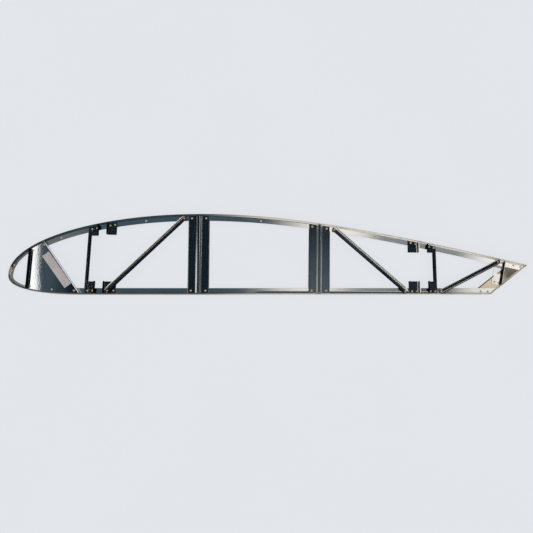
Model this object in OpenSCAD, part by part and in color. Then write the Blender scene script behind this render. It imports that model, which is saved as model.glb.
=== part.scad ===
// Riveted truss rib of a light-aircraft wing, lying on the back edges of its cap strips.
// Stations run aft from the nose and heights run up from the flat underside.
// The sheet pieces lie on the front of the cap webs, with their legs turned up.
// All sizes are in millimetres and degrees.

/* [Rib outline] */
// Length from the nose to the tail tip
rib_length = 1200; // [1160:5:1300]
// Depth of the rib at its crest
crest_height = 190; // [180:1:200]
// Station of the crest
crest_station = 440; // [410:5:470]
// Height of the foremost point of the nose
nose_height = 48; // [44:1:52]
// Station where the curved chin meets the flat underside
chin_station = 190; // [170:5:200]
// Fullness of the chin curve, an ellipse being 2
chin_fullness = 2.6; // [2.3:0.1:3]
// Softness of the bend behind the crest
crest_softness = 0.6; // [0.4:0.05:0.9]
// Height of the tail tip
tail_height = 68; // [64:1:74]
// Distance forward of the tip at which the slanted tail edge meets the underside
tail_run = 90; // [80:1:100]

/* [Cap strips] */
// Width of the cap flange across the rib
cap_width = 13; // [12:0.5:15]
// Depth of the cap from its outer face to the edge of its web
cap_depth = 15; // [14:0.5:17]
// Depth of the relieved cap round the nose
nose_cap_depth = 8; // [7:0.5:9]
// Thickness of the cap flange and of its doubled web
cap_sheet = 1; // [0.8:0.1:1.2]
// Height of the butt joint between the upper cap and the nose cap
splice_height = 64; // [60:1:70]
// Gap at the butt joints of the caps
butt_gap = 0.3; // [0.2:0.1:1]
// Length of the plate that splices the joint
splice_length = 27; // [24:1:34]

/* [Sheet pieces] */
// Gauge of the sheet pieces
sheet = 0.8; // [0.6:0.1:1]
// Inside radius of their folds
bend_radius = 1.6; // [1:0.1:2]
// Height of the folded legs, over the back of the sheet
leg_height = 12; // [10:0.5:14]
// Distance from the rib outline to the ends of the sheet pieces
end_inset = 3.5; // [3:0.25:4.5]
// Clearance between a sheet piece and the cap beside it
fit_gap = 0.4; // [0.3:0.1:0.6]
// Lean of the spar gaps and the nose plate towards the tail
rake = 1; // [0:0.25:2]

/* [Nose plate] */
// Station of the forward edge, at the underside
nose_plate_station = 43.5; // [40:0.5:47]
// Station at which the slanted aft edge meets the upper outline
nose_plate_top = 76; // [72:1:84]
// Station at which the slanted aft edge meets the underside
nose_plate_foot = 169; // [158:1:172]
// Distance from that edge to the aft rivet on the underside, along the rib
nose_plate_rivet_setback = 17; // [14:0.5:18]

/* [Spar seats] */
// Station of the middle of the front spar gap, at the underside
front_spar_station = 210; // [207:0.5:216]
// Station of the middle of the rear spar gap, at the underside, counted forward from the tail tip
rear_spar_station = 242; // [230:1:255]
// Width of the gap that takes a spar
spar_gap = 20; // [18:0.5:22]
// Width of the bracket ahead of the front spar
front_bracket_width = 25; // [23:0.5:26]
// Width of the bracket behind the rear spar
rear_bracket_width = 21; // [20:0.5:24]
// Width of the upright strip of a bracket
bracket_strip = 8.5; // [7:0.5:9.5]
// Reach of the lower tabs and clips, and of the front bracket's upper tab, from the rib outline
tab_reach = 30.5; // [28:0.5:33]
// Reach of the front upper clip
front_clip_reach = 28; // [25:0.5:33]
// Reach of the rear upper clip and of the rear bracket's upper tab
rear_upper_reach = 25.5; // [23:0.5:33]
// Width of the front upper clip
clip_width = 21.5; // [20:0.5:25]
// Width of the two rear clips
rear_clip_width = 24.5; // [22:0.5:26]
// Distance between the two rivets of a tab or clip
tab_rivet_pitch = 11.5; // [9:0.5:12]
// Width of the clip that carries the foot of the front diagonal
long_clip_width = 28; // [26:0.5:32]

/* [Hat uprights] */
// Station of the forward upright, at the underside
forward_hat_station = 438; // [425:0.5:450]
// Station of the aft upright, at the underside, counted forward from the tail tip
aft_hat_station = 483.5; // [465:0.5:500]
// Lean of the forward upright towards the tail
forward_hat_lean = -0.4; // [-1:0.1:2]
// Lean of the aft upright towards the tail
aft_hat_lean = 1.4; // [0:0.1:2]
// Width across both flanges
hat_width = 50; // [46:0.5:54]
// Distance between the two rivets at an end
hat_rivet_spacing = 33.5; // [32:0.5:36]
// Width of the raised bead at its foot
bead_foot = 12.5; // [11:0.5:14]
// Width of the bead along its crown
bead_crown = 5; // [4:0.25:6]
// Height of the bead
bead_height = 5; // [4:0.25:6]
// Depth of the lips turned back along both edges
hat_lip = 5; // [4:0.25:5.5]

/* [Diagonals] */
// Width of the diagonal channels
diagonal_width = 10.5; // [9.5:0.25:11.5]
// Height of their flanges
diagonal_flange = 9; // [7:0.5:11]
// Gap between a diagonal's round end and the piece beside it
diagonal_gap = 4; // [3:0.25:6]
// Gap between the foot of the rear diagonal and the clip beside it
clip_gap = 2; // [1:0.25:4]

/* [Tail] */
// Width of the channel that closes the slanted tail edge
closing_width = 28.5; // [26:0.5:31]
// Distance from the tail tip to its aftmost rivet on the upper cap, along the rib
closing_upper_setback = 14.5; // [14:0.5:20]
// Distance from the lower tail corner to its aftmost rivet on the lower cap
closing_lower_setback = 4.5; // [3:0.5:7]
// Distance between its two rivets on a cap
closing_rivet_pitch = 16; // [12:0.5:18]
// Distance from the rib outline to those rivets
closing_rivet_inset = 7; // [6:0.25:8]
// Distance from the tail tip to the fold of the tail upright, along the rib
tail_upright_setback = 50; // [47:0.5:54]
// Width of the face of the tail upright
tail_upright_width = 21; // [20:0.25:23]
// Length of the tail upright from the rib outline
tail_upright_length = 61; // [59:0.5:63]
// Height of its leg, over the back of the sheet
tail_leg = 8; // [6:0.5:12]
// Distance from the foot of the tail upright to its rivets
tail_foot_rivet = 5.5; // [5:0.25:8]
// Length of its step down from the cap web to the closing channel
tail_step_length = 5; // [4:0.5:7]
// Radius of the lightening hole in the tail upright
lightening_radius = 7; // [5:0.25:7.5]

/* [Rivets] */
// Distance from the rib outline to the rows of rivets
rivet_inset = 9; // [8.5:0.25:10]
// Distance from the rib outline to the rivets at the rear spar and at the head of the tail upright
rear_rivet_inset = 7.5; // [7:0.25:10]
// Radius of the shank
shank_radius = 1.2; // [1:0.1:1.4]
// Radius of the domed head
head_radius = 2.4; // [2.1:0.1:2.6]
// Height of the domed head
head_height = 1.1; // [0.8:0.1:1.4]
// Clearance round the shank
hole_clearance = 0.05; // [0.03:0.01:0.1]
// Rivets that join the two leaves of the upper cap web, each ahead of the spar or upright behind it
seam_stations = [95, 126, 133.5, 108]; // [80:0.5:150]

/* [Hidden] */
$fn = 48;

bare_metal = "#3c4a54";
dark_metal = "#16212b";
bright_metal = "#d8d6cc";
rivet_gold = "#c9a35a";

// Levels across the rib, from the edge that it lies on
web_back = (cap_width - cap_sheet) / 2;
web_front = web_back + cap_sheet;
sheet_front = web_front + sheet;
closing_back = web_back - sheet;
top_level = sheet_front + 2 * leg_height;

// Sampling of the curves
crest_steps = 30;
aft_steps = 16;
chin_steps = 18;
bend_steps = 4;
tail_overrun = 30;
far = 2 * rib_length;
spare = 1;

// Places that several pieces share
rear_spar_middle = rib_length - rear_spar_station;
aft_hat_middle = rib_length - aft_hat_station;
end_radius = diagonal_width / 2 + fit_gap;
fold_room = bend_radius + sheet;
edge_room = head_radius + bend_radius + sheet + fit_gap;
tail_line = [tail_run, tail_height] / norm([tail_run, tail_height]);
tail_foot = [rib_length - tail_run, 0];
tail_fold_top = [rib_length - tail_upright_setback, top_y(rib_length - tail_upright_setback)];
tail_lean = atan(-top_slope(tail_fold_top.x));
tail_axis = [sin(tail_lean), cos(tail_lean)];
tail_step_head = cap_depth + 2 * fit_gap;
tail_step_foot = tail_step_head + tail_step_length;
tail_row = tail_upright_length - tail_foot_rivet;
tail_columns = [edge_room, edge_room + end_radius + head_radius + 2 * sheet];

// Small vector helpers
function unit(v) = v / norm(v);
function left_of(d) = [-d.y, d.x];
function reversed(list) = [for (i = [len(list) - 1:-1:0]) list[i]];

// Mitred sideways step at a point of a path, to the left of travel
function side_step(path, i) =
    let (last = len(path) - 1,
         before = left_of(unit(path[max(i, 1)] - path[max(i - 1, 0)])),
         after = left_of(unit(path[min(i + 1, last)] - path[min(i, last - 1)])))
    (before + after) / (1 + before * after);
function beside(path, d) = [for (i = [0:len(path) - 1]) path[i] + d * side_step(path, i)];

// Arc that replaces the corner b between a and c
function corner_arc(a, b, c, r) =
    let (u = unit(a - b),
         v = unit(c - b),
         half = acos(u * v) / 2,
         middle = b + unit(u + v) * r / sin(half),
         p = b + u * r / tan(half) - middle,
         turn = (cross(u, v) > 0 ? -1 : 1) * (180 - 2 * half))
    [for (k = [0:bend_steps])
        let (t = turn * k / bend_steps)
        middle + [p.x * cos(t) - p.y * sin(t), p.x * sin(t) + p.y * cos(t)]];
function rounded(path, r) = [
    path[0],
    for (i = [1:len(path) - 2]) each corner_arc(path[i - 1], path[i], path[i + 1], r),
    path[len(path) - 1]
];

// Height of the upper outline: an ellipse ahead of the crest, a hyperbola behind it
function aft_drop(t) = sqrt(t * t + crest_softness * crest_softness) - crest_softness;
function top_y(x) =
    x < crest_station
    ? nose_height + (crest_height - nose_height) * sqrt(1 - pow((crest_station - x) / crest_station, 2))
    : crest_height - (crest_height - tail_height)
        * aft_drop((x - crest_station) / (rib_length - crest_station)) / aft_drop(1);
function top_slope(x) = top_y(x + 0.5) - top_y(x - 0.5);

// Height of the lower outline: a full chin that runs into a flat underside
function bottom_y(x) =
    x < chin_station
    ? nose_height * (1 - pow(1 - pow(1 - x / chin_station, chin_fullness), 1 / chin_fullness))
    : 0;
function bottom_slope(x) = bottom_y(x + 0.5) - bottom_y(x - 0.5);

// The outline from behind the tail tip, over the crest and round the nose, to behind the foot
outline = concat(
    [let (x = rib_length + tail_overrun) [x, top_y(x)]],
    [for (i = [0:aft_steps - 1])
        let (x = rib_length - (rib_length - crest_station) * i / aft_steps) [x, top_y(x)]],
    [for (i = [0:crest_steps])
        let (a = 90 - 90 * i / crest_steps)
        [crest_station * (1 - cos(a)), nose_height + (crest_height - nose_height) * sin(a)]],
    [for (i = [1:chin_steps])
        let (a = 90 * i / chin_steps)
        [chin_station * (1 - pow(cos(a), 2 / chin_fullness)),
         nose_height * (1 - pow(sin(a), 2 / chin_fullness))]],
    [[rib_length + tail_overrun, 0]]
);

// Points at a station, set in squarely from the upper or the lower outline
function upper_point(x, inset) = [x, top_y(x) - inset * norm([1, top_slope(x)])];
function lower_point(x, inset) = [x, bottom_y(x) + inset * norm([1, bottom_slope(x)])];
function lean(station, y, angle = rake) = station + y * tan(angle);

// Point on the tail upright: forward of its fold, and down from the outline
function tail_point(across, down) = tail_fold_top + across * left_of(tail_axis) - down * tail_axis;

// Butt joint at the nose, on the upper ellipse
splice_angle = asin((splice_height - nose_height) / (crest_height - nose_height));
splice_point = [crest_station * (1 - cos(splice_angle)), splice_height];
splice_inward = unit([cos(splice_angle) / crest_station, -sin(splice_angle) / (crest_height - nose_height)]);

// Rivet rows of a spar's pieces, measured from the face of the spar
tab_columns = [edge_room, edge_room + tab_rivet_pitch];
diagonal_foot_column = end_radius + fold_room + fit_gap;
long_clip_columns = [diagonal_foot_column, long_clip_width - edge_room];

// Stations of the spar faces at the upper and at the lower row of rivets
function gap_middle(station, inset) = [lean(station, top_y(station) - inset), lean(station, inset)];
half_gap = [spar_gap, spar_gap] / 2;
front_ahead = gap_middle(front_spar_station, rivet_inset) - half_gap;
front_behind = gap_middle(front_spar_station, rivet_inset) + half_gap;
rear_ahead = gap_middle(rear_spar_middle, rear_rivet_inset) - half_gap;
rear_behind = gap_middle(rear_spar_middle, rear_rivet_inset) + half_gap;

// Ends of the three diagonals
forward_hat_top = lean(forward_hat_station, top_y(forward_hat_station), forward_hat_lean);
aft_hat_top = lean(aft_hat_middle, top_y(aft_hat_middle), aft_hat_lean);
diagonal_reach = hat_width / 2 + diagonal_gap + end_radius;
front_diagonal_ends = [
    lower_point(front_behind[1] + diagonal_foot_column, rivet_inset),
    upper_point(forward_hat_top - diagonal_reach, rivet_inset)];
rear_diagonal_ends = [
    upper_point(aft_hat_top + diagonal_reach, rivet_inset),
    lower_point(rear_ahead[1] - rear_clip_width - clip_gap - end_radius, rear_rivet_inset)];
aft_diagonal_ends = [
    lower_point(rear_behind[1] + rear_bracket_width + diagonal_gap + end_radius, rear_rivet_inset),
    tail_point(tail_columns[1], rear_rivet_inset)];

// A diagonal that ends on another sheet rises over it along its length
clip_cover = tab_reach * norm(front_diagonal_ends[1] - front_diagonal_ends[0])
    / (front_diagonal_ends[1].y - front_diagonal_ends[0].y) + diagonal_width;
front_span = norm(front_diagonal_ends[1] - front_diagonal_ends[0]);
front_tilt = asin(sheet / (front_span + end_radius - clip_cover));
front_foot_lift = (front_span + end_radius) * tan(front_tilt);
aft_span = norm(aft_diagonal_ends[1] - aft_diagonal_ends[0]);
upright_cover = 2 * tail_upright_width;
aft_tilt = asin(sheet / (aft_span + end_radius - upright_cover));
aft_top_lift = (aft_span + end_radius) * tan(aft_tilt);
seat_gap = 0.02;

// Each rivet is its place with the back and the front of the sheets that it holds
function row(points, back, front) = [for (p = points) [p, back, front]];
function upper_row(face, side, columns, inset = rivet_inset) =
    row([for (c = columns) upper_point(face + side * c, inset)], web_back, sheet_front);
function lower_row(face, side, columns, inset = rivet_inset) =
    row([for (c = columns) lower_point(face + side * c, inset)], web_back, sheet_front);
function hat_rows(station, top) = concat(
    upper_row(top, 1, [-hat_rivet_spacing / 2, hat_rivet_spacing / 2]),
    lower_row(station, 1, [-hat_rivet_spacing / 2, hat_rivet_spacing / 2]));

splice_inset = (nose_cap_depth + cap_sheet) / 2;
splice_along = splice_length / 4;
splice_rows = row(
    [for (s = [-1, 1]) splice_point + splice_inset * splice_inward + s * splice_along * left_of(splice_inward)],
    closing_back, web_front);
nose_plate_upper = [lean(nose_plate_station, top_y(nose_plate_station)) + edge_room, nose_plate_top];
nose_plate_fore = lean(nose_plate_station, nose_height) + edge_room;
nose_plate_aft = nose_plate_foot - nose_plate_rivet_setback;
nose_plate_lower = [nose_plate_fore, (nose_plate_fore + nose_plate_aft) / 2, nose_plate_aft];
chin_joint = (nose_plate_lower[1] + nose_plate_lower[2]) / 2;
nose_plate_rows = concat(
    row([for (x = nose_plate_upper) upper_point(x, rivet_inset)], web_back, sheet_front),
    row([for (x = nose_plate_lower) lower_point(x, rivet_inset)], web_back, sheet_front));
seam_ends = [front_spar_station, forward_hat_station, aft_hat_middle, rear_spar_middle];
seam_rows = row([for (x = seam_ends - seam_stations) upper_point(x, rivet_inset)], web_back, web_front);
front_spar_rows = concat(
    upper_row(front_ahead[0], -1, tab_columns),
    lower_row(front_ahead[1], -1, tab_columns),
    upper_row(front_behind[0], 1, tab_columns),
    [[front_diagonal_ends[0], web_back, sheet_front + front_foot_lift + seat_gap]],
    lower_row(front_behind[1], 1, [long_clip_columns[1]]));
hat_upright_rows = concat(
    hat_rows(forward_hat_station, forward_hat_top),
    hat_rows(aft_hat_middle, aft_hat_top),
    [[front_diagonal_ends[1], web_back, sheet_front + end_radius * tan(front_tilt) + seat_gap]],
    [[rear_diagonal_ends[0], web_back, sheet_front]]);
rear_spar_rows = concat(
    upper_row(rear_ahead[0], -1, tab_columns, rear_rivet_inset),
    lower_row(rear_ahead[1], -1, tab_columns, rear_rivet_inset),
    upper_row(rear_behind[0], 1, tab_columns, rear_rivet_inset),
    lower_row(rear_behind[1], 1, tab_columns, rear_rivet_inset),
    [[rear_diagonal_ends[1], web_back, sheet_front]],
    [[aft_diagonal_ends[0], web_back, sheet_front + end_radius * tan(aft_tilt) + seat_gap]]);
closing_pair = [closing_rivet_pitch, 0];
closing_upper = [for (d = closing_pair) rib_length - closing_upper_setback - d];
closing_lower = [for (d = closing_pair) tail_foot.x - closing_lower_setback - d];
tail_rows = concat(
    [[tail_point(tail_columns[0], rear_rivet_inset), web_back, sheet_front]],
    [[aft_diagonal_ends[1], web_back, sheet_front + aft_top_lift + seat_gap]],
    row([for (c = tail_columns) tail_point(c, tail_row)], closing_back, web_back + sheet),
    row([for (x = closing_upper) upper_point(x, closing_rivet_inset)], closing_back, web_front),
    row([for (x = closing_lower) lower_point(x, closing_rivet_inset)], closing_back, web_front));
all_rows = concat(splice_rows, nose_plate_rows, seam_rows, front_spar_rows,
    hat_upright_rows, rear_spar_rows, tail_rows);

// Frames and cutters
module in_rib() translate([-rib_length / 2, -crest_height / 2, 0]) children();
module slab(low, high) translate([0, 0, low]) linear_extrude(high - low) children();
module rib_region(inset) polygon(beside(outline, inset));
module ahead_of_tail(distance) {
    start = tail_foot + distance * left_of(tail_line) - rib_length * tail_line;
    end = start + far * tail_line;
    polygon([start, end, end + far * left_of(tail_line), start + far * left_of(tail_line)]);
}
module drill(rows)
    for (r = rows)
        translate([r[0].x, r[0].y, -spare])
            cylinder(r = shank_radius + hole_clearance, h = top_level + 2 * spare);

// Frame with x to the left of travel, y up and z along the travel from a to b
module travel(a, b)
    translate([a.x, a.y, 0])
        rotate([90, 0, atan2(b.y - a.y, b.x - a.x) + 90])
            children();
module stretch(from, to) translate([0, 0, from]) linear_extrude(to - from) children();

// Section of one gauge of sheet folded along a path through its middle
module folded(path) {
    middle = rounded(path, bend_radius + sheet / 2);
    polygon(concat(beside(middle, sheet / 2), reversed(beside(middle, -sheet / 2))));
}
module angle_section(face, flat, back = web_front)
    folded([
        [face + sheet / 2, back + leg_height],
        [face + sheet / 2, back + sheet / 2],
        [face + flat, back + sheet / 2]]);
module inside_caps() intersection() {
    children();
    slab(0, top_level) rib_region(end_inset);
}

// All cap strips in one piece: a flange round the outline and a web, relieved round the nose
module web_opening() {
    intersection() {
        rib_region(cap_depth);
        translate([nose_plate_station, -far]) square(2 * far);
    }
    intersection() {
        rib_region(nose_cap_depth);
        translate([-far, -far]) square([far + nose_plate_station + sheet, 2 * far]);
    }
}
module cap_ring() difference() {
    union() {
        slab(0, cap_width) intersection() {
            difference() {
                rib_region(0);
                rib_region(cap_sheet);
            }
            ahead_of_tail(sheet + fit_gap);
        }
        slab(web_back, web_front) intersection() {
            difference() {
                rib_region(cap_sheet / 2);
                web_opening();
            }
            ahead_of_tail(fold_room + fit_gap);
        }
    }
    drill(all_rows);
}
module above_split(shift) {
    joint = splice_point + shift * left_of(splice_inward);
    outside = joint - 2 * cap_depth * splice_inward;
    inside = joint + 2 * cap_depth * splice_inward;
    polygon([
        outside, inside, [far, tail_height / 2], [far, far], [-far, far], [-far, outside.y]]);
}
module upper_cap() color(bare_metal) in_rib() intersection() {
    cap_ring();
    slab(-spare, cap_width + spare) above_split(butt_gap / 2);
}
module lower_ring() difference() {
    cap_ring();
    slab(-spare, cap_width + spare) above_split(-butt_gap / 2);
}
module ahead_of_joint(shift) translate([-far, -far]) square([far + chin_joint + shift, 2 * far]);
module nose_cap() color(bare_metal) in_rib() intersection() {
    lower_ring();
    slab(-spare, cap_width + spare) ahead_of_joint(-butt_gap / 2);
}
module lower_cap() color(bare_metal) in_rib() difference() {
    lower_ring();
    slab(-spare, cap_width + spare) ahead_of_joint(butt_gap / 2);
}

// Nose
module nose_splice_plate() color(bare_metal) in_rib() difference() {
    slab(closing_back, web_back) intersection() {
        difference() {
            rib_region(cap_sheet + fit_gap);
            rib_region(nose_cap_depth);
        }
        translate(splice_point)
            rotate(atan2(splice_inward.y, splice_inward.x))
                translate([-cap_depth, -splice_length / 2])
                    square([2 * cap_depth, splice_length]);
    }
    drill(splice_rows);
}
module nose_plate() color(bright_metal) in_rib() difference() {
    front_foot = [nose_plate_station, 0];
    front_top = [lean(nose_plate_station, crest_height), crest_height];
    aft_foot = [nose_plate_foot, 0];
    aft_top = [nose_plate_top, top_y(nose_plate_top)];
    front_edge = folded_edge(front_top, front_foot);
    aft_edge = folded_edge(aft_foot, aft_top);
    inside_caps()
        slab(web_front, web_front + leg_height)
            polygon(concat(front_edge, aft_edge));
    difference() {
        slab(sheet_front, top_level)
            polygon(concat(beside(front_edge, sheet), beside(aft_edge, sheet)));
        fold_bar(front_edge, bend_radius);
        fold_bar(aft_edge, bend_radius);
    }
    fold_bar(front_edge, fold_room);
    fold_bar(aft_edge, fold_room);
    drill(nose_plate_rows);
}

// Folded edge of the nose plate, run out past both caps
function folded_edge(a, b) = [a - cap_depth * unit(b - a), b + cap_depth * unit(b - a)];

// Bar that fills a square corner along an edge as far as the round of a fold
module fold_bar(edge, radius) {
    middle = [fold_room, web_front + fold_room];
    function chord_end(k) =
        let (a = 90 * k / bend_steps)
        middle - radius * [cos(a), sin(a)];
    inner = [for (k = [1:bend_steps - 1]) chord_end(k)];
    first = 2 * chord_end(0) - inner[0];
    last = 2 * chord_end(bend_steps) - inner[bend_steps - 2];
    corner = middle - (fold_room + spare) * [1, 1];
    travel(edge[0], edge[1])
        stretch(-cap_depth, norm(edge[1] - edge[0]) + cap_depth)
            polygon(concat(
                [first], inner, [last],
                [[last.x, corner.y], corner, [corner.x, first.y]]));
}

// Spar seats: a bracket on one side of the gap and two clips on the other
module spar_frame(station, side) {
    height = top_y(station);
    face = side * spar_gap / 2;
    travel([station + face, 0], [lean(station, height) + face, height])
        mirror([side > 0 ? 1 : 0, 0, 0])
            children();
}
function spar_run(station) = top_y(station) / cos(rake);
module spar_bracket(station, side, width, upper_reach) inside_caps() {
    run = spar_run(station);
    relief = bend_radius;
    spar_frame(station, side) {
        stretch(0, run + cap_depth)
            translate([width - bracket_strip, web_front])
                square([bracket_strip, sheet]);
        stretch(tab_reach + relief, run - upper_reach - relief)
            angle_section(width - bracket_strip, bracket_strip);
        stretch(0, tab_reach)
            angle_section(0, width);
        stretch(run - upper_reach, run + cap_depth)
            angle_section(0, width);
    }
}
module upper_clip(station, side, width, reach) inside_caps()
    spar_frame(station, side)
        stretch(spar_run(station) - reach, spar_run(station) + cap_depth)
            angle_section(0, width);
module lower_clip(station, side, width) inside_caps()
    spar_frame(station, side)
        stretch(0, tab_reach)
            angle_section(0, width);
module front_spar_bracket() color(dark_metal) in_rib() difference() {
    spar_bracket(front_spar_station, -1, front_bracket_width, tab_reach);
    drill(front_spar_rows);
}
module front_spar_upper_clip() color(dark_metal) in_rib() difference() {
    upper_clip(front_spar_station, 1, clip_width, front_clip_reach);
    drill(front_spar_rows);
}
module front_spar_lower_clip() color(dark_metal) in_rib() difference() {
    lower_clip(front_spar_station, 1, long_clip_width);
    drill(front_spar_rows);
}
module rear_spar_upper_clip() color(dark_metal) in_rib() difference() {
    upper_clip(rear_spar_middle, -1, rear_clip_width, rear_upper_reach);
    drill(rear_spar_rows);
}
module rear_spar_lower_clip() color(dark_metal) in_rib() difference() {
    lower_clip(rear_spar_middle, -1, rear_clip_width);
    drill(rear_spar_rows);
}
module rear_spar_bracket() color(dark_metal) in_rib() difference() {
    spar_bracket(rear_spar_middle, 1, rear_bracket_width, rear_upper_reach);
    drill(rear_spar_rows);
}

// Hat uprights: two flanges with lips turned back, and a bead raised along the middle
module hat_section() {
    edge = (hat_width - sheet) / 2;
    level = web_front + sheet / 2;
    folded([
        [-edge, level - hat_lip], [-edge, level],
        [-bead_foot / 2, level], [-bead_crown / 2, level + bead_height],
        [bead_crown / 2, level + bead_height], [bead_foot / 2, level],
        [edge, level], [edge, level - hat_lip]]);
}
module hat_upright(station, top) difference() {
    height = top_y(station);
    inside_caps()
        travel([station, 0], [top, height])
            stretch(0, height + cap_depth)
                hat_section();
    difference() {
        slab(-spare, web_front) rib_region(0);
        slab(-2 * spare, web_front + spare) rib_region(cap_depth + fit_gap);
    }
    drill(hat_upright_rows);
}
module forward_hat_upright() color(dark_metal) in_rib() hat_upright(forward_hat_station, forward_hat_top);
module aft_hat_upright() color(dark_metal) in_rib() hat_upright(aft_hat_middle, aft_hat_top);

// Diagonals: channels with round ends, their flanges run out towards the rivets
module diagonal(ends, lift, tilt) {
    span = norm(ends[1] - ends[0]);
    edge = (diagonal_width - sheet) / 2;
    run_out = end_radius + diagonal_flange;
    travel(ends[0], ends[1])
        translate([0, web_front + lift, 0])
            rotate([tilt, 0, 0])
                intersection() {
                    stretch(-end_radius, span + end_radius)
                        folded([
                            [edge, diagonal_flange], [edge, sheet / 2],
                            [-edge, sheet / 2], [-edge, diagonal_flange]]);
                    rotate([0, -90, 0])
                        translate([0, 0, -diagonal_width])
                            linear_extrude(2 * diagonal_width)
                                polygon([
                                    [-end_radius - spare, -spare],
                                    [span + end_radius + spare, -spare],
                                    [span + end_radius + spare, 2 * sheet],
                                    [span + end_radius - run_out, diagonal_flange + spare],
                                    [run_out - end_radius, diagonal_flange + spare],
                                    [-end_radius - spare, 2 * sheet]]);
                    rotate([90, 0, 0])
                        translate([0, 0, -2 * diagonal_flange])
                            linear_extrude(4 * diagonal_flange) {
                                translate([-end_radius, 0]) square([2 * end_radius, span]);
                                circle(r = end_radius);
                                translate([0, span]) circle(r = end_radius);
                            }
                }
}
module front_diagonal() color(dark_metal) in_rib() difference() {
    diagonal(front_diagonal_ends, front_foot_lift, front_tilt);
    drill(front_spar_rows);
    drill(hat_upright_rows);
}
module rear_diagonal() color(dark_metal) in_rib() difference() {
    diagonal(rear_diagonal_ends, 0, 0);
    drill(hat_upright_rows);
    drill(rear_spar_rows);
}
module aft_diagonal() color(dark_metal) in_rib() difference() {
    diagonal(aft_diagonal_ends, end_radius * tan(aft_tilt), -aft_tilt);
    drill(rear_spar_rows);
    drill(tail_rows);
}

// Tail: an upright that steps down on to the web of the closing channel, and that channel
module tail_upright() color(bright_metal) in_rib() difference() {
    foot = -tail_upright_length;
    intersection() {
        inside_caps()
            travel(tail_point(tail_upright_width, 0), tail_fold_top) {
                stretch(0, tail_upright_width)
                    folded([
                        [foot, web_back + sheet / 2], [-tail_step_foot, web_back + sheet / 2],
                        [-tail_step_head, web_front + sheet / 2], [cap_depth, web_front + sheet / 2]]);
                stretch(tail_upright_width - sheet, tail_upright_width)
                    polygon([
                        [foot, web_back], [sheet - tail_step_foot, web_back],
                        [-tail_step_head, web_front + sheet / 4], [cap_depth, web_front + sheet / 4],
                        [cap_depth, web_front + tail_leg], [foot, web_front + tail_leg]]);
            }
        slab(0, top_level) ahead_of_tail(fold_room + fit_gap);
    }
    hole = tail_point(fold_room + lightening_radius, tail_step_foot + fit_gap + lightening_radius);
    translate([hole.x, hole.y, 0]) cylinder(r = lightening_radius, h = top_level);
    drill(tail_rows);
}
module tail_closing_channel() color(bright_metal) in_rib() difference() {
    tip = tail_foot + norm([tail_run, tail_height]) * tail_line;
    back = closing_back + sheet / 2;
    flange_top = closing_back + leg_height;
    length = norm(tip - tail_foot);
    union() {
        intersection() {
            travel(tail_foot, tip)
                stretch(-closing_width * 2, length + closing_width * 2)
                    folded([
                        [sheet / 2, flange_top], [sheet / 2, back],
                        [closing_width - sheet / 2, back], [closing_width - sheet / 2, flange_top]]);
            slab(0, top_level) rib_region(cap_sheet + fit_gap);
        }
        intersection() {
            travel(tail_foot, tip)
                stretch(-closing_width, length + closing_width)
                    translate([0, closing_back + fold_room])
                        square([sheet, leg_height - fold_room]);
            slab(0, top_level) rib_region(0);
        }
    }
    // The forward flange stands only between the lower cap web and the tail upright
    slab(web_back, top_level) intersection() {
        ahead_of_tail(closing_width / 2);
        union() {
            difference() {
                rib_region(-cap_depth);
                rib_region(cap_depth + fit_gap);
            }
            polygon([
                tail_point(tail_upright_width + fit_gap, -cap_depth),
                tail_point(tail_upright_width + fit_gap, tail_upright_length + cap_depth),
                tail_point(-far, tail_upright_length + cap_depth),
                tail_point(-far, -cap_depth)]);
        }
    }
    drill(tail_rows);
}

// Rivets: a domed head in front and a flat driven head behind
module rivet(r) {
    dome_steps = 4;
    driven_radius = shank_radius * 1.5;
    driven_height = shank_radius;
    translate([r[0].x, r[0].y, 0])
        rotate_extrude()
            polygon(concat(
                [[0, r[1] - driven_height], [driven_radius, r[1] - driven_height],
                 [driven_radius, r[1]], [shank_radius, r[1]], [shank_radius, r[2]]],
                [for (k = [0:dome_steps])
                    let (a = 90 * k / dome_steps)
                    [head_radius * cos(a), r[2] + head_height * sin(a)]]));
}
module rivets(rows) color(rivet_gold) in_rib() for (r = rows) rivet(r);
module splice_rivets() rivets(splice_rows);
module nose_plate_rivets() rivets(nose_plate_rows);
module cap_seam_rivets() rivets(seam_rows);
module front_spar_rivets() rivets(front_spar_rows);
module hat_upright_rivets() rivets(hat_upright_rows);
module rear_spar_rivets() rivets(rear_spar_rows);
module tail_rivets() rivets(tail_rows);

upper_cap();
nose_cap();
lower_cap();
nose_splice_plate();
nose_plate();
front_spar_bracket();
front_spar_upper_clip();
front_spar_lower_clip();
front_diagonal();
forward_hat_upright();
aft_hat_upright();
rear_diagonal();
rear_spar_upper_clip();
rear_spar_lower_clip();
rear_spar_bracket();
aft_diagonal();
tail_upright();
tail_closing_channel();
splice_rivets();
nose_plate_rivets();
cap_seam_rivets();
front_spar_rivets();
hat_upright_rivets();
rear_spar_rivets();
tail_rivets();
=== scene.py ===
# Looks of a riveted truss rib of a light-aircraft wing, lying on a pale floor.
# Stations run aft from the nose and heights run up from the flat underside, both in millimetres.
import math

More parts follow.
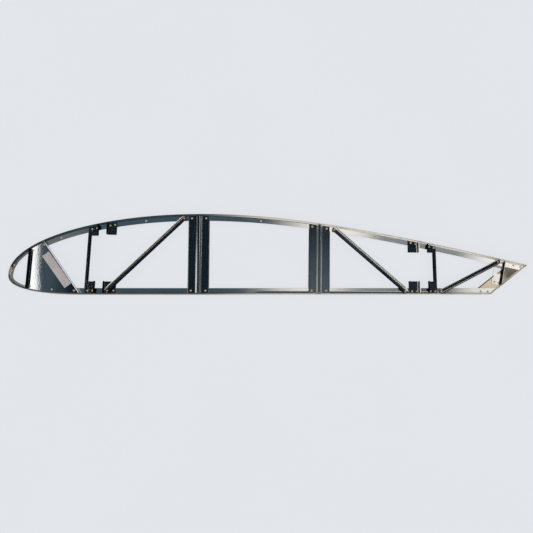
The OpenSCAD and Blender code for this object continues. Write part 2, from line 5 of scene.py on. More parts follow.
import bmesh
import bpy
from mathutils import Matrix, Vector


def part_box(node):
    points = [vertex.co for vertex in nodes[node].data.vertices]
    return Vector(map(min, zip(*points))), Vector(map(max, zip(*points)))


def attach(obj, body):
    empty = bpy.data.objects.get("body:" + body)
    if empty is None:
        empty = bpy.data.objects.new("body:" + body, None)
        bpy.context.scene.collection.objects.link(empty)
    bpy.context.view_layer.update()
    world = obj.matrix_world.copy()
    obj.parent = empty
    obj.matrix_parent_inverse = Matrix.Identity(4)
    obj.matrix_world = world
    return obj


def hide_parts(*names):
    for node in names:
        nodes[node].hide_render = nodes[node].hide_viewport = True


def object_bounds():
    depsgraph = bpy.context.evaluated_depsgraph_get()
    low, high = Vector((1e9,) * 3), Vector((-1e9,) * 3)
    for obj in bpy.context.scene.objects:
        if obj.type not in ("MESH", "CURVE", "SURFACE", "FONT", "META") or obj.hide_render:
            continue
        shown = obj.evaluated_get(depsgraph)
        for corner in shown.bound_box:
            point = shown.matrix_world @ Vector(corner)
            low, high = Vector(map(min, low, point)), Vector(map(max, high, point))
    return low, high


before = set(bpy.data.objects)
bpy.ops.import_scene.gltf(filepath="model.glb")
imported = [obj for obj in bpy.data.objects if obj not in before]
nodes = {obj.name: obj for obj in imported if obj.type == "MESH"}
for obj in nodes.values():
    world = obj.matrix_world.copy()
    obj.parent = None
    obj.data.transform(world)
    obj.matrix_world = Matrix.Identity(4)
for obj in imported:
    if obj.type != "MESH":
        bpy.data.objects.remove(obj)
cad_low, cad_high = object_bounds()
scene = bpy.context.scene

MM = 0.001

# Rib outline, as the solids have it
RIB_LENGTH = (cad_high.x - cad_low.x) / MM
CREST_HEIGHT = (cad_high.y - cad_low.y) / MM
CREST_STATION = 440
NOSE_HEIGHT = 48
CREST_RISE = CREST_HEIGHT - NOSE_HEIGHT
CHIN_STATION = 190
CHIN_FULLNESS = 2.6
CREST_SOFTNESS = 0.6
TAIL_HEIGHT = 68
TAIL_RUN = 90

# Cap strips
CAP_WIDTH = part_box("lower_cap")[1].z / MM
CAP_DEPTH = 15
NOSE_CAP_DEPTH = 8
CAP_SHEET = 1
CAP_FILLET = 3.0
CAP_EDGE = 0.3
RELIEF_STATION = 43.5
SPLICE_HEIGHT = 64
BUTT_GAP = 0.3
FLANGE_CLEARANCE = 1.2
WEB_CLEARANCE = 2.8

# Steps along each stretch of the outline and each round of the section, and their crowding at the chin
CREST_STEPS = 120
AFT_STEPS = 80
NOSE_STEPS = 12
CHIN_STEPS = 70
CHIN_CROWDING = 1.6
FLAT_STEPS = 40
EDGE_STEPS = 2
FILLET_STEPS = 5

# Blank paper label on the nose plate
LABEL_CENTRE = (108.7, 58.1)
LABEL_SIZE = (94, 18.6)
LABEL_STEPS = (40, 10)
LABEL_TURN = math.radians(-52.6)
LABEL_THICKNESS = 0.18
LABEL_SEAT = 0.02
LABEL_CURL = 0.5
CURL_START = 0.75
SHEET_FRONT = 7.8

# Camera
CAMERA_PLACE = (-0.0043, -0.2360, 1.1988)
CAMERA_LEAN = math.radians(9.83)
CAMERA_LENS = 35.15


# Short forms for the values below
def even(colour):
    """A folded wall of one colour from root to rim."""
    return [colour, colour]


def soft_panel(across, away, tint, slant=0.0):
    """A panel overhead, by its low side, high side and softness as slopes from the zenith.

    Across runs to the right and away runs to the crest; slant skews the panel to the right."""
    return {"across": across, "slant": slant, "away": away, "tint": tint}


# Sheet metal: linear colours, roughness, run of the grain, and the slope and reach of its lean
PLAIN = [(0.70, 0.72, 0.75), (0.86, 0.87, 0.88)]
WARM = [(0.54, 0.48, 0.38), (0.74, 0.65, 0.51)]
CAP_ROUGH = 0.10
SHEET_ROUGH = 0.10
PLATE_ROUGH = 0.025
TAIL_ROUGH = 0.12
ALONG = 0.0
UPRIGHT = math.radians(89)
CLOSING_RUN = math.radians(37)
FLAT = (0.0, 0.0)
DARK_TILT = (0.0, -0.13)
PLATE_TILT = (0.0, -0.06)
CLOSING_TILT = (0.0, -0.046)
CLOSING_REACH = ((1128, 20), (1160, 52))
STRIPE_TILT = (-0.2, 0.0)
STRIPE_ROWS = ((600, 8.5), (600, 5.5))
STRIPE_START = ((560, 95), (640, 95))
STRIPE_END = ((1020, 95), (950, 95))

# Folded walls: painted light and shade, as a colour at the root and at the rim, with the levels between
# which it changes
LEG_LEVELS = (12.0, 17.0)
CHANNEL_LEVELS = (9.5, 13.5)
REAR_LEVELS = (13.5, 15.5)
RIM_HEIGHT = 1
DARK_WALL = [(0.005, 0.007, 0.009), (0.006, 0.008, 0.010)]
SLATE_WALL = even((0.04, 0.06, 0.075))
# Grey painted shade on the lower cap's walls that face the crest
GREY_SHADE_WALL = even((0.14, 0.14, 0.14))
# Painted half light on the lower cap's walls that face the crest, further aft
HALF_LIT_WALL = even((0.58, 0.56, 0.52))
BROWN_WALL = even((0.40, 0.35, 0.30))
# Painted shade at the root and a painted highlight at the rim
RIM_LIT_WALL = [(0.02, 0.03, 0.04), (0.85, 0.80, 0.71)]
# Painted light at the root and painted shade at the rim
LIT_WALL = [(0.95, 0.90, 0.80), (0.02, 0.03, 0.04)]
PALE_WALL = [(0.68, 0.64, 0.57), (0.90, 0.86, 0.78)]
WHITE_WALL = [(0.30, 0.38, 0.44), (0.95, 0.95, 0.93)]

# Points between which the painted light and shade of one wall gives way to another, and half their
# distance on a diagonal
PLATE_AFT = ((75, 60), (90, 60))
CLOSING_AFT = ((1140, 54), (1154, 36))
CAP_AFT = ((430, 95), (620, 95))
TAIL_AFT = ((1000, 95), (1080, 95))
SIDE_REACH = 2

# Where one look gives way to another, by a part of the face's normal
STANDING = (0.99, 0.95)
LEVEL = (0.9, 0.99)
FACING_UNDERSIDE = (0.05, -0.05)

# Noise in the finishes: scale and detail
ROLLING_LINES = (900, 3)
SMEARS = (28, 4)
BUCKLE = (11, 1)
SPECKS = (320, 3)
RUBBING = (700, 3)
FIBRES = (1500, 4)
DIRT = (60, 3)
FLOOR_MOTTLE = (3, 3)
GRAIN_STRETCH = 40
FIBRE_STRETCH = 3
SMEAR_SHARE = 0.6
DIRT_SHARE = 0.65

# Depth of the relief and radius of the softened edges, in metres
LINE_DEPTH = 0.000004
BUCKLE_DEPTH = 0.00012
PLATE_SPECK_DEPTH = 0.000012
FIBRE_DEPTH = 0.00003
EDGE_RADIUS = 0.0004
EDGE_SAMPLES = 4

# Colour by noise, and the roughness between its two ends
SHEET_STOPS = (0.3, 0.7)
ROUGH_SPREAD = (0.7, 1.4)
RIVET_TONES = [(0.3, (0.52, 0.36, 0.17)), (0.55, (0.72, 0.57, 0.35)), (0.8, (0.85, 0.77, 0.60))]
RIVET_ROUGH = (0.25, 0.45)
RIVET_METALLIC = 0.5
PAPER_TONES = [(0.3, (0.34, 0.31, 0.31)), (0.6, (0.46, 0.42, 0.415)), (0.8, (0.52, 0.48, 0.47))]
PAPER_ROUGH = (0.55, 0.8)
FLOOR_TONES = [(0.3, (0.800, 0.825, 0.868)), (0.7, (0.806, 0.831, 0.873))]

# Light and floor
FLOOR_RADIUS = 12
FLOOR_SIDES = 96
FLOOR_GLOW = 0.848
FLOOR_SHADE = 0.104
SUN_STRENGTH = 2.4
SUN_SPREAD = math.radians(150)

# Colours of the sky that the metal mirrors
CEILING_DARK = (0.008, 0.014, 0.021, 1)
CEILING_SLATE = (0.058, 0.092, 0.116, 1)
WALL_LOW_LEFT = (0.45, 0.45, 0.44, 1)
WALL_LOW_RIGHT = (0.13, 0.135, 0.14, 1)
WALL_HIGH_LEFT = (1.0, 1.0, 0.98, 1)
WALL_HIGH_RIGHT = (0.48, 0.47, 0.46, 1)
WALL_BACK = (0.065, 0.07, 0.075, 1)
WALL_FRONT = (0.95, 0.93, 0.88, 1)
GROUND_DARK = (0.02, 0.026, 0.034, 1)
GROUND_PALE = (0.85, 0.87, 0.88, 1)
GROUND_NEAR_LEFT = (0.24, 0.23, 0.22, 1)
GROUND_NEAR_RIGHT = (1.0, 0.90, 0.76, 1)

# Where those colours change, by a part of the direction
LOWEST_LIFT = 0.2
FRONT_NEAR = (0.0, -0.3)
FRONT_LEFT = (0.1, -0.05)
WALL_LEFT = (0.1, -0.1)
LOW_WALL_BACK = (0.09, 0.25)
HIGH_WALL_BACK = (0.035, 0.13)
WALL_RISE = (0.25, 0.38)
GROUND_MIDDLE = (-0.2, 0.2, 0.06)
GROUND_RIGHT = (-0.15, 0.05)
GROUND_NEAR = (-0.2, -0.04, 0.04)
GROUND_EDGE = (-0.8, -0.6)
CEILING_EDGE = (0.6, 0.78)

# Soft panels overhead
CAP_SPAN = (0.10, 0.40, 0.03)
PANELS = [
    soft_panel((-0.04, 0.14, 0.06), CAP_SPAN, (1.1, 1.04, 0.92), slant=0.35),
    soft_panel((0.07, 0.19, 0.02), CAP_SPAN, (0.24, 0.268, 0.28), slant=0.6),
    soft_panel((-0.03, 0.09, 0.02), CAP_SPAN, (0.28, 0.30, 0.305), slant=1.4),
    soft_panel((0.32, 0.70, 0.02), CAP_SPAN, (1.15, 1.1, 1.0), slant=0.4),
    soft_panel((-0.62, -0.45, 0.03), CAP_SPAN, (0.16, 0.16, 0.155)),
    soft_panel((-0.45, -0.36, 0.03), (0.17, 0.40, 0.02), (0.17, 0.18, 0.18)),
    soft_panel((-0.44, -0.40, 0.03), (-0.03, 0.12, 0.02), (0.062, 0.092, 0.115)),
    soft_panel((-0.485, -0.440, 0.004), (-0.25, 0.12, 0.02), (1.3, 1.3, 1.25)),
    soft_panel((0.04, 0.18, 0.04), (-0.30, -0.06, 0.08), (0.078, 0.103, 0.118)),
    soft_panel((0.03, 0.46, 0.04), (-0.40, -0.22, 0.02), (0.9, 0.85, 0.76)),
]


def place(station, height, level):
    """A point of the rib in metres, in the frame of the solids."""
    return Vector((cad_low.x + station * MM, cad_low.y + height * MM, level * MM))


# Node helpers
def new_material(name):
    material = bpy.data.materials.new(name)
    material.use_nodes = True
    tree = material.node_tree
    return material, tree, tree.nodes["Principled BSDF"]


def feed(tree, socket, value):
    """Links a socket to another one, or sets its value."""
    if isinstance(value, bpy.types.NodeSocket):
        tree.links.new(value, socket)
    else:
        socket.default_value = value


def add(tree, kind, **inputs):
    """A node of that kind, with values or links given by the names of its inputs."""
    made = tree.nodes.new(kind)
    for name, value in inputs.items():
        feed(tree, made.inputs[name], value)
    return made


def math_node(tree, operation, first, second=0.0):
    made = tree.nodes.new("ShaderNodeMath")
    made.operation = operation
    feed(tree, made.inputs[0], first)
    feed(tree, made.inputs[1], second)
    return made.outputs[0]


def vector_node(tree, operation, first, second=(0, 0, 0)):
    made = tree.nodes.new("ShaderNodeVectorMath")
    made.operation = operation
    feed(tree, made.inputs[0], first)
    feed(tree, made.inputs[1], second)
    return made.outputs["Value" if operation == "DOT_PRODUCT" else "Vector"]


def smooth_step(tree, value, low, high):
    """Rises from 0 to 1 as the value goes from low to high; with low above high, as it falls."""
    made = tree.nodes.new("ShaderNodeMapRange")
    made.interpolation_type = "SMOOTHSTEP"
    feed(tree, made.inputs["Value"], value)
    made.inputs["From Min"].default_value = low
    made.inputs["From Max"].default_value = high
    return made.outputs["Result"]


def remap(tree, value, low, high):
    """Goes from low to high as the value goes from 0 to 1."""
    made = tree.nodes.new("ShaderNodeMapRange")
    feed(tree, made.inputs["Value"], value)
    made.inputs["To Min"].default_value = low
    made.inputs["To Max"].default_value = high
    return made.outputs["Result"]


def mix(tree, share, first, second, kind="RGBA"):
    made = tree.nodes.new("ShaderNodeMix")
    made.data_type = kind
    feed(tree, made.inputs["Factor"], share)
    feed(tree, made.inputs["A"], first)
    feed(tree, made.inputs["B"], second)
    return made.outputs["Result"]


def ramp(tree, value, stops):
    """Colours by value; stops are pairs of position and linear colour."""
    made = tree.nodes.new("ShaderNodeValToRGB")
    feed(tree, made.inputs["Fac"], value)
    elements = made.color_ramp.elements
    while len(elements) < len(stops):
        elements.new(1.0)
    for element, (position, colour) in zip(elements, stops):
        element.position = position
        element.color = (*colour, 1.0)
    return made.outputs["Color"]


def noise(tree, vector, scale, detail):
    made = add(tree, "ShaderNodeTexNoise", Vector=vector, Scale=scale, Detail=detail)
    return made.outputs["Fac"]


def bumped(tree, normal, height, distance):
    made = add(tree, "ShaderNodeBump", Height=height, Distance=distance, Strength=1.0, Normal=normal)
    return made.outputs["Normal"]


def object_space(tree):
    return tree.nodes.new("ShaderNodeTexCoord").outputs["Object"]


def grain_space(tree, plain, turn, stretch):
    """Coordinates turned so that the first axis runs with the grain, and drawn out along it."""
    turned = tree.nodes.new("ShaderNodeMapping")
    turned.vector_type = "TEXTURE"
    turned.inputs["Rotation"].default_value = (0, 0, turn)
    turned.inputs["Scale"].default_value = (stretch, 1, 1)
    tree.links.new(plain, turned.inputs["Vector"])
    return turned.outputs["Vector"]


def spread_value(tree, value):
    """One value as all three parts of a vector."""
    made = tree.nodes.new("ShaderNodeCombineXYZ")
    for socket in made.inputs:
        feed(tree, socket, value)
    return made.outputs[0]


def blend(tree, first, second, share):
    """Two values added in the given proportion."""
    kept = math_node(tree, "MULTIPLY", first, 1 - share)
    return math_node(tree, "ADD", kept, math_node(tree, "MULTIPLY", second, share))


def parts_of(tree, vector):
    made = tree.nodes.new("ShaderNodeSeparateXYZ")
    tree.links.new(vector, made.inputs[0])
    return made.outputs


def along_share(tree, at, start, end):
    """Rises from 0 at the start point to 1 at the end point, both as station and height."""
    first = place(*start, 0)
    step = place(*end, 0) - first
    offset = vector_node(tree, "SUBTRACT", at, first)
    run = vector_node(tree, "DOT_PRODUCT", offset, step / step.length_squared)
    return smooth_step(tree, run, 0, 1)


def band(tree, value, low, high, soft):
    """1 where the value lies between low and high, with soft edges."""
    rise = smooth_step(tree, value, low - soft, low + soft)
    fall = smooth_step(tree, value, high + soft, high - soft)
    return math_node(tree, "MULTIPLY", rise, fall)


# Materials
def sheet_metal(
        name, rough, turn, tilt=FLAT, far_tilt=None, reaches=(), tone=PLAIN,
        walls=None, back_walls=None, levels=LEG_LEVELS, speck_depth=0.0):
    """Bare rolled aluminium: fine rolling lines, faint smears and the slight buckle of thin sheet.

    Its level faces lean by tilt, and by far_tilt past all the reaches, each given by two points.
    Its folded walls are matt, with painted light and shade for colours; back_walls are for those that
    face the crest."""
    material, tree, shader = new_material(name)
    plain = object_space(tree)
    lines = noise(tree, grain_space(tree, plain, turn, GRAIN_STRETCH), *ROLLING_LINES)
    smears = noise(tree, plain, *SMEARS)
    worn = blend(tree, lines, smears, SMEAR_SHARE)
    colour = ramp(tree, worn, list(zip(SHEET_STOPS, tone)))
    faces = tree.nodes.new("ShaderNodeNewGeometry").outputs["True Normal"]
    _, crestward, upward = parts_of(tree, faces)
    # Folded walls take painted light and shade in place of the metal's colour, by level and by place
    if walls:
        level = parts_of(tree, plain)[2]
        standing = smooth_step(tree, math_node(tree, "ABSOLUTE", upward), *STANDING)
        rim = smooth_step(tree, level, (levels[1] - RIM_HEIGHT) * MM, levels[1] * MM)
        standing = math_node(tree, "MAXIMUM", standing, rim)
        wall_light_colour = painted_wall_light(tree, plain, level, levels, walls)
        if back_walls:
            facing_underside = smooth_step(tree, crestward, *FACING_UNDERSIDE)
            back_light_colour = painted_wall_light(tree, plain, level, levels, back_walls)
            wall_light_colour = mix(tree, facing_underside, back_light_colour, wall_light_colour)
        colour = mix(tree, standing, colour, wall_light_colour)
        feed(tree, shader.inputs["Metallic"], math_node(tree, "SUBTRACT", 1.0, standing))
        shader.inputs["Specular IOR Level"].default_value = 0.0
    else:
        shader.inputs["Metallic"].default_value = 1.0
    feed(tree, shader.inputs["Base Color"], colour)
    roughness = remap(tree, smears, rough * ROUGH_SPREAD[0], rough * ROUGH_SPREAD[1])
    feed(tree, shader.inputs["Roughness"], roughness)
    lean = (*tilt, 0)
    if far_tilt:
        share = 1.0
        for reach in reaches:
            share = math_node(tree, "MULTIPLY", share, along_share(tree, plain, *reach))
        lean = mix(tree, share, lean, (*far_tilt, 0), "VECTOR")
    lean = vector_node(tree, "MULTIPLY", lean, spread_value(tree, smooth_step(tree, upward, *LEVEL)))
    edges = add(tree, "ShaderNodeBevel", Radius=EDGE_RADIUS)
    edges.samples = EDGE_SAMPLES
    leaned = vector_node(tree, "NORMALIZE", vector_node(tree, "ADD", edges.outputs["Normal"], lean))
    buckled = bumped(tree, leaned, noise(tree, plain, *BUCKLE), BUCKLE_DEPTH)
    speckled = bumped(tree, buckled, noise(tree, plain, *SPECKS), speck_depth)
    feed(tree, shader.inputs["Normal"], bumped(tree, speckled, lines, LINE_DEPTH))
    return material


def painted_wall_light(tree, at, level, levels, walls):
    """Painted light and shade of folded walls from root to rim: the first pair, then others past their
    own reach.
    """
    up = smooth_step(tree, level, levels[0] * MM, levels[1] * MM)
    first, *others = walls
    colour = mix(tree, up, (*first[0], 1), (*first[1], 1))
    for reach, (root, rim) in others:
        past = mix(tree, up, (*root, 1), (*rim, 1))
        colour = mix(tree, along_share(tree, at, *reach), colour, past)
    return colour


def rivet_metal():
    """Gold chemical finish on aluminium rivets, duller where it has rubbed."""
    material, tree, shader = new_material("gold_rivet")
    rubbed = noise(tree, object_space(tree), *RUBBING)
    feed(tree, shader.inputs["Base Color"], ramp(tree, rubbed, RIVET_TONES))
    feed(tree, shader.inputs["Roughness"], remap(tree, rubbed, *RIVET_ROUGH))
    shader.inputs["Metallic"].default_value = RIVET_METALLIC
    return material


def label_paper():
    """Plain pinkish-grey paper with fibres and a little handling dirt."""
    material, tree, shader = new_material("plain_paper")
    plain = object_space(tree)
    fibres = noise(tree, grain_space(tree, plain, LABEL_TURN, FIBRE_STRETCH), *FIBRES)
    dirt = noise(tree, plain, *DIRT)
    tone = blend(tree, fibres, dirt, DIRT_SHARE)
    feed(tree, shader.inputs["Base Color"], ramp(tree, tone, PAPER_TONES))
    feed(tree, shader.inputs["Roughness"], remap(tree, fibres, *PAPER_ROUGH))
    flat = tree.nodes.new("ShaderNodeNewGeometry").outputs["Normal"]
    feed(tree, shader.inputs["Normal"], bumped(tree, flat, fibres, FIBRE_DEPTH))
    return material


def floor_paint():
    """Pale matt floor with the faintest mottling, mostly lit from within so that shadows stay soft."""
    material, tree, shader = new_material("pale_floor")
    tint = ramp(tree, noise(tree, object_space(tree), *FLOOR_MOTTLE), FLOOR_TONES)
    shade = mix(tree, FLOOR_SHADE, (0, 0, 0, 1), tint)
    feed(tree, shader.inputs["Base Color"], shade)
    feed(tree, shader.inputs["Emission Color"], tint)
    shader.inputs["Emission Strength"].default_value = FLOOR_GLOW
    shader.inputs["Roughness"].default_value = 1.0
    shader.inputs["Specular IOR Level"].default_value = 0.0
    return material


# Outline of the rib
def aft_drop(t):
    return math.sqrt(t * t + CREST_SOFTNESS ** 2) - CREST_SOFTNESS


def aft_point(x):
    """A point of the top behind the crest."""
    share = aft_drop((x - CREST_STATION) / (RIB_LENGTH - CREST_STATION)) / aft_drop(1)
    return Vector((x, CREST_HEIGHT - (CREST_HEIGHT - TAIL_HEIGHT) * share))


def crest_point(angle):
    """A point of the top ahead of the crest, a quarter of an ellipse from the nose."""
    return Vector((
        CREST_STATION * (1 - math.cos(angle)),
        NOSE_HEIGHT + CREST_RISE * math.sin(angle)))


def chin_point(angle):
    """A point under the nose, a quarter of a fuller ellipse that ends on the flat underside."""
    power = 2 / CHIN_FULLNESS
    return Vector((
        CHIN_STATION * (1 - max(math.cos(angle), 0) ** power),
        NOSE_HEIGHT * (1 - math.sin(angle) ** power)))


def spread(low, high, steps):
    return [low + (high - low) * i / steps for i in range(steps + 1)]


def joint_angle(side):
    """Where a cap starts at the nose joint, half the butt gap above it for side 1 or below it for -1."""
    angle = math.asin((SPLICE_HEIGHT - NOSE_HEIGHT) / CREST_RISE)
    run = math.hypot(CREST_STATION * math.sin(angle), CREST_RISE * math.cos(angle))
    return angle + side * BUTT_GAP / 2 / run


def upper_path():
    """Points of the outline from the nose joint over the crest to the tail tip."""
    front = [crest_point(a) for a in spread(joint_angle(1), math.pi / 2, CREST_STEPS)]
    aft = [aft_point(x) for x in spread(CREST_STATION, RIB_LENGTH, AFT_STEPS)[1:]]
    return front + aft


def lower_path():
    """Points of the outline from the nose joint round the chin to the foot of the tail edge."""
    over = [crest_point(a) for a in spread(joint_angle(-1), 0, NOSE_STEPS)]
    chin = [chin_point(math.pi / 2 * u ** CHIN_CROWDING) for u in spread(0, 1, CHIN_STEPS)[1:]]
    flat = [Vector((x, 0)) for x in spread(CHIN_STATION, RIB_LENGTH - TAIL_RUN, FLAT_STEPS)[1:]]
    return over + chin + flat


def split_path(path, station):
    """The lower path in two, with the butt gap between them, cut at the station under the nose."""
    after = next(i for i, point in enumerate(path) if point.x > station + 2 * BUTT_GAP)
    before = after - 1
    while path[before].x > station - BUTT_GAP:
        before -= 1
    ahead = path[after] - path[before]
    first, second = (
        path[before] + ahead * ((at - path[before].x) / ahead.x)
        for at in (station, station + BUTT_GAP))
    return path[:before + 1] + [first], [second] + path[after:]


# Cap strips: a tee section with filleted roots, swept along the outline
def arc(centre, radius, first, last, steps):
    return [
        (centre[0] + radius * math.cos(math.radians(a)), centre[1] + radius * math.sin(math.radians(a)))
        for a in spread(first, last, steps)]


def cap_section(depth):
    """Points of the section as inset and level, with a mark where a flat meets a round."""
    front = (CAP_WIDTH + CAP_SHEET) / 2
    back = (CAP_WIDTH - CAP_SHEET) / 2
    inner = CAP_SHEET + CAP_FILLET
    edge = CAP_EDGE
    rounds = [
        arc((edge, edge), edge, 270, 180, EDGE_STEPS),
        arc((edge, CAP_WIDTH - edge), edge, 180, 90, EDGE_STEPS),
        arc((CAP_SHEET - edge, CAP_WIDTH - edge), edge, 90, 0, EDGE_STEPS),
        arc((inner, front + CAP_FILLET), CAP_FILLET, 180, 270, FILLET_STEPS),
        arc((depth - edge, front - edge), edge, 90, 0, EDGE_STEPS),
        arc((depth - edge, back + edge), edge, 0, -90, EDGE_STEPS),
        arc((inner, back - CAP_FILLET), CAP_FILLET, 90, 180, FILLET_STEPS),
        arc((CAP_SHEET - edge, edge), edge, 0, -90, EDGE_STEPS),
    ]
    points, ends = [], set()
    for bend in rounds:
        ends.update((len(points), len(points) + len(bend) - 1))
        points.extend(bend)
    return points, ends


def swept_cap(name, path, inward_side):
    """A cap along a path from the nose towards the tail, its flange and web cut along the tail edge."""
    tail = Vector((TAIL_RUN, TAIL_HEIGHT)).normalized()
    tail_normal = Vector((-tail.y, tail.x))
    tail_foot = Vector((RIB_LENGTH - TAIL_RUN, 0))
    to_tail = path[-1].x >= tail_foot.x
    mesh = bmesh.new()
    rings = []
    for i, point in enumerate(path):
        along = (path[min(i + 1, len(path) - 1)] - path[max(i - 1, 0)]).normalized()
        inward = Vector((-along.y, along.x)) * inward_side
        depth = NOSE_CAP_DEPTH if point.x < RELIEF_STATION else CAP_DEPTH
        section, ends = cap_section(depth)
        ring = []
        for inset, level in section:
            at = point + inset * inward
            clearance = FLANGE_CLEARANCE if inset <= CAP_SHEET else WEB_CLEARANCE
            past = (at - tail_foot).dot(tail_normal) - clearance
            if past < 0 or (to_tail and i == len(path) - 1):
                slide = past / along.dot(tail_normal)
                at = at - along * slide
            ring.append(mesh.verts.new(place(at.x, at.y, level)))
        rings.append(ring)
    count = len(rings[0])
    for before, after in zip(rings, rings[1:]):
        for k in range(count):
            quad = [before[k], before[(k + 1) % count], after[(k + 1) % count], after[k]]
            mesh.faces.new(quad)
    mesh.faces.new(rings[0])
    mesh.faces.new(list(reversed(rings[-1])))
    bmesh.ops.recalc_face_normals(mesh, faces=mesh.faces)
    for face in mesh.faces:
        face.smooth = len(face.verts) == 4
    for before, after in zip(rings, rings[1:]):
        for k in ends:
            mesh.edges.get((before[k], after[k])).smooth = False
    for ring in (rings[0], rings[-1]):
        for k in range(count):
            mesh.edges.get((ring[k], ring[(k + 1) % count])).smooth = False
    return finished_piece(name, mesh)


def finished_piece(name, mesh):
    data = bpy.data.meshes.new(name)
    mesh.to_mesh(data)
    mesh.free()
    piece = bpy.data.objects.new(name, data)
    scene.collection.objects.link(piece)
    return piece


def paper_label():
    """A thin sheet on the face of the nose plate, very slightly lifted at one corner."""
    mesh = bmesh.new()
    columns, rows = LABEL_STEPS
    length, width = LABEL_SIZE
    run = Vector((math.cos(LABEL_TURN), math.sin(LABEL_TURN)))
    side = Vector((-run.y, run.x))
    grids = []
    for level in (0, LABEL_THICKNESS):
        grid = []
        for i in range(columns + 1):
            u = i / columns - 0.5
            line = []
            for j in range(rows + 1):
                v = j / rows - 0.5
                curl = LABEL_CURL * max(u + v - CURL_START, 0) * max(u, 0)
                at = Vector(LABEL_CENTRE) + length * u * run + width * v * side
                line.append(mesh.verts.new(place(at.x, at.y, SHEET_FRONT + level + curl + LABEL_SEAT)))
            grid.append(line)
        grids.append(grid)
    for grid in grids:
        for i in range(columns):
            for j in range(rows):
                mesh.faces.new([grid[i][j], grid[i + 1][j], grid[i + 1][j + 1], grid[i][j + 1]])
    low, high = grids
    rim = (
        [(i, 0) for i in range(columns)] + [(columns, j) for j in range(rows)]
        + [(i, rows) for i in range(columns, 0, -1)] + [(0, j) for j in range(rows, 0, -1)])
    for (i, j), (m, n) in zip(rim, rim[1:] + rim[:1]):
        mesh.faces.new([low[i][j], low[m][n], high[m][n], high[i][j]])
    bmesh.ops.recalc_face_normals(mesh, faces=mesh.faces)
    return finished_piece("paper_label", mesh)


def dress(piece, material):
    piece.data.materials.clear()
    piece.data.materials.append(material)


# Studio
def studio_sky():
    """What the polished metal mirrors: a dark ceiling with soft panels, walls and ground."""
    world = bpy.data.worlds.new("studio")
    scene.world = world
    world.use_nodes = True
    tree = world.node_tree
    toward = tree.nodes.new("ShaderNodeTexCoord").outputs["Generated"]
    x, y, z = parts_of(tree, toward)
    lift = math_node(tree, "MAXIMUM", z, LOWEST_LIFT)
    across = math_node(tree, "DIVIDE", x, lift)
    away = math_node(tree, "DIVIDE", y, lift)
    ceiling = mix(tree, band(tree, away, *CAP_SPAN), CEILING_DARK, CEILING_SLATE)
    for panel in PANELS:
        slanted = math_node(tree, "SUBTRACT", across, math_node(tree, "MULTIPLY", away, panel["slant"]))
        sideways = band(tree, slanted, *panel["across"])
        endways = band(tree, away, *panel["away"])
        mask = math_node(tree, "MULTIPLY", sideways, endways)
        ceiling = mix(tree, mask, ceiling, (*panel["tint"], 1))
    leftward = smooth_step(tree, x, *WALL_LEFT)
    low_wall = mix(tree, leftward, WALL_LOW_RIGHT, WALL_LOW_LEFT)
    low_wall = mix(tree, smooth_step(tree, y, *LOW_WALL_BACK), low_wall, WALL_BACK)
    high_wall = mix(tree, leftward, WALL_HIGH_RIGHT, WALL_HIGH_LEFT)
    high_wall = mix(tree, smooth_step(tree, y, *HIGH_WALL_BACK), high_wall, WALL_BACK)
    walls = mix(tree, smooth_step(tree, z, *WALL_RISE), low_wall, high_wall)
    near_wall = smooth_step(tree, y, *FRONT_NEAR)
    in_front = math_node(tree, "MULTIPLY", near_wall, smooth_step(tree, x, *FRONT_LEFT))
    walls = mix(tree, in_front, walls, WALL_FRONT)
    ground = mix(tree, band(tree, x, *GROUND_MIDDLE), GROUND_DARK, GROUND_PALE)
    near = mix(tree, smooth_step(tree, x, *GROUND_RIGHT), GROUND_NEAR_LEFT, GROUND_NEAR_RIGHT)
    ground = mix(tree, band(tree, y, *GROUND_NEAR), ground, near)
    colour = mix(tree, smooth_step(tree, z, *GROUND_EDGE), ground, walls)
    colour = mix(tree, smooth_step(tree, z, *CEILING_EDGE), colour, ceiling)
    feed(tree, tree.nodes["Background"].inputs["Color"], colour)


def studio():
    """Sky, soft daylight, floor and camera."""
    studio_sky()
    sun_data = bpy.data.lights.new("soft_daylight", "SUN")
    sun_data.energy = SUN_STRENGTH
    sun_data.angle = SUN_SPREAD
    sun = bpy.data.objects.new("soft_daylight", sun_data)
    sun.visible_glossy = False
    scene.collection.objects.link(sun)
    mesh = bmesh.new()
    bmesh.ops.create_circle(mesh, cap_ends=True, segments=FLOOR_SIDES, radius=FLOOR_RADIUS)
    floor = finished_piece("floor", mesh)
    dress(floor, floor_paint())
    floor.visible_glossy = False
    camera_data = bpy.data.cameras.new("camera")
    camera_data.lens = CAMERA_LENS
    camera = bpy.data.objects.new("camera", camera_data)
    camera.location = CAMERA_PLACE
    camera.rotation_euler = (CAMERA_LEAN, 0, 0)
    scene.collection.objects.link(camera)
    scene.camera = camera
    scene.view_settings.view_transform = "Standard"


# Finish of each piece; most carry painted light and shade on their folded walls
def channel_metal(node, upper_wall_light, levels, falls=False):
    """Metal of a diagonal that climbs or falls aft, with painted light on its upper wall alone and
    painted shade on its other walls.
    """
    low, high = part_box(node)
    turn = math.atan2(high.y - low.y, high.x - low.x)
    if falls:
        turn = -turn
    middle = ((low + high) / 2 - cad_low) / MM
    aside = Vector((-math.sin(turn), math.cos(turn)))
    upper_side = [
        (middle.x + side * aside.x, middle.y + side * aside.y)
        for side in (-SIDE_REACH, SIDE_REACH)]
    walls = [DARK_WALL, (upper_side, upper_wall_light)]
    return sheet_metal(node + "_metal", SHEET_ROUGH, turn, DARK_TILT, walls=walls, levels=levels)


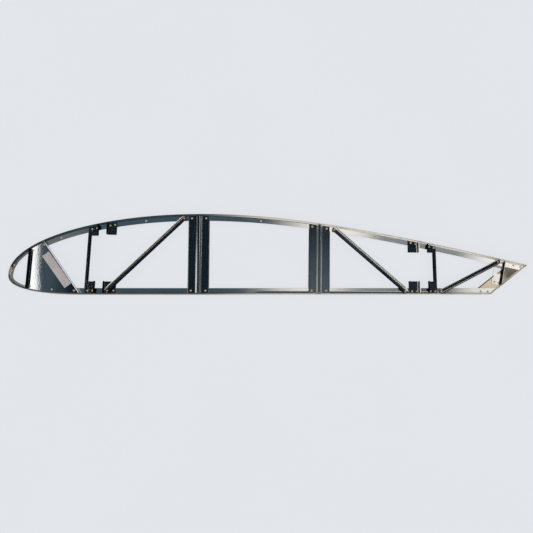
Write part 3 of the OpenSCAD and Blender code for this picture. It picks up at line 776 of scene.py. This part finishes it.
upper_cap_metal = sheet_metal(
    "upper_cap_metal", CAP_ROUGH, ALONG,
    walls=[SLATE_WALL, (CAP_AFT, PALE_WALL)],
    back_walls=[SLATE_WALL])
lower_cap_metal = sheet_metal(
    "lower_cap_metal", CAP_ROUGH, ALONG, FLAT, STRIPE_TILT, [STRIPE_ROWS, STRIPE_START, STRIPE_END],
    walls=[BROWN_WALL, (CAP_AFT, PALE_WALL)],
    back_walls=[GREY_SHADE_WALL, (CAP_AFT, HALF_LIT_WALL), (TAIL_AFT, PALE_WALL)])
upright_metal = sheet_metal("upright_metal", SHEET_ROUGH, UPRIGHT, DARK_TILT)
bracket_metal = sheet_metal("bracket_metal", SHEET_ROUGH, UPRIGHT, DARK_TILT, walls=[DARK_WALL])
clip_metal = sheet_metal("clip_metal", SHEET_ROUGH, UPRIGHT, DARK_TILT, walls=[RIM_LIT_WALL])
plate_metal = sheet_metal(
    "plate_metal", PLATE_ROUGH, UPRIGHT, PLATE_TILT,
    walls=[DARK_WALL, (PLATE_AFT, WHITE_WALL)], speck_depth=PLATE_SPECK_DEPTH)
tail_metal = sheet_metal("tail_metal", TAIL_ROUGH, UPRIGHT, walls=[DARK_WALL])
closing_metal = sheet_metal(
    "closing_metal", TAIL_ROUGH, CLOSING_RUN, FLAT, CLOSING_TILT, [CLOSING_REACH], tone=WARM,
    walls=[DARK_WALL, (CLOSING_AFT, PALE_WALL)], levels=CHANNEL_LEVELS)
rivet_gold = rivet_metal()

FINISHES = {
    "upper_cap": upper_cap_metal,
    "nose_cap": lower_cap_metal,
    "lower_cap": lower_cap_metal,
    "nose_splice_plate": upper_cap_metal,
    "nose_plate": plate_metal,
    "front_spar_bracket": bracket_metal,
    "front_spar_upper_clip": bracket_metal,
    "front_spar_lower_clip": bracket_metal,
    "front_diagonal": channel_metal("front_diagonal", RIM_LIT_WALL, CHANNEL_LEVELS),
    "forward_hat_upright": upright_metal,
    "aft_hat_upright": upright_metal,
    "rear_diagonal": channel_metal("rear_diagonal", LIT_WALL, REAR_LEVELS, falls=True),
    "rear_spar_upper_clip": clip_metal,
    "rear_spar_lower_clip": clip_metal,
    "rear_spar_bracket": bracket_metal,
    "aft_diagonal": channel_metal("aft_diagonal", RIM_LIT_WALL, CHANNEL_LEVELS),
    "tail_upright": tail_metal,
    "tail_closing_channel": closing_metal,
}
for name, node in nodes.items():
    if name.endswith("_rivets"):
        dress(node, rivet_gold)
    else:
        dress(node, FINISHES[name])

# Pieces that stand for the caps, and the label
nose_path, belly_path = split_path(lower_path(), (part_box("nose_cap")[1].x - cad_low.x) / MM)
CAP_RUNS = [
    ("upper_cap", upper_path(), -1),
    ("nose_cap", nose_path, 1),
    ("lower_cap", belly_path, 1),
]
for node_name, path, side in CAP_RUNS:
    cap = swept_cap(node_name + "_strip", path, side)
    dress(cap, FINISHES[node_name])
    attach(cap, "root")
    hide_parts(node_name)

label = paper_label()
dress(label, label_paper())
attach(label, "root")

studio()
